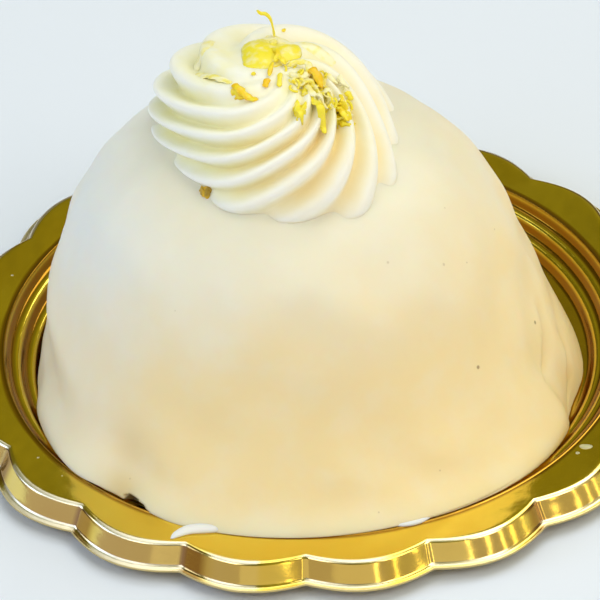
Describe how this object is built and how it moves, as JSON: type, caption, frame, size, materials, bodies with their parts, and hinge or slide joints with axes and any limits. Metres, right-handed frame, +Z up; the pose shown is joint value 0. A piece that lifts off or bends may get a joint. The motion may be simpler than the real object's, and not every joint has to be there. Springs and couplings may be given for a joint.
{
  "type": "lemon pudding",
  "caption": "Glazed dome-shaped lemon pudding with a swirl of piped cream on top, on its own thin gold plate with a scalloped edge.",
  "frame": {"origin": "under the middle of the plate, on the surface that the plate stands on", "axes": "+Z up through the middle of the plate; -Y towards the front, where the glaze has run out over the plate's steps"},
  "size_m": [0.1042, 0.1038, 0.0527],
  "materials": {
    "gold_film": "thin plastic plate with a mirror-bright gold metallised face",
    "lemon_glaze": "smooth pale cream-coloured lemon glaze with a soft satin gloss",
    "piped_cream": "ivory piped cream, slightly moist",
    "lemon_zest": "moist yellow lemon zest shreds, partly translucent"
  },
  "bodies": {
    "root": {"gold_plate": "gold_film", "glazed_dome": "lemon_glaze", "cream_swirl": "piped_cream"}
  },
  "joints": []
}
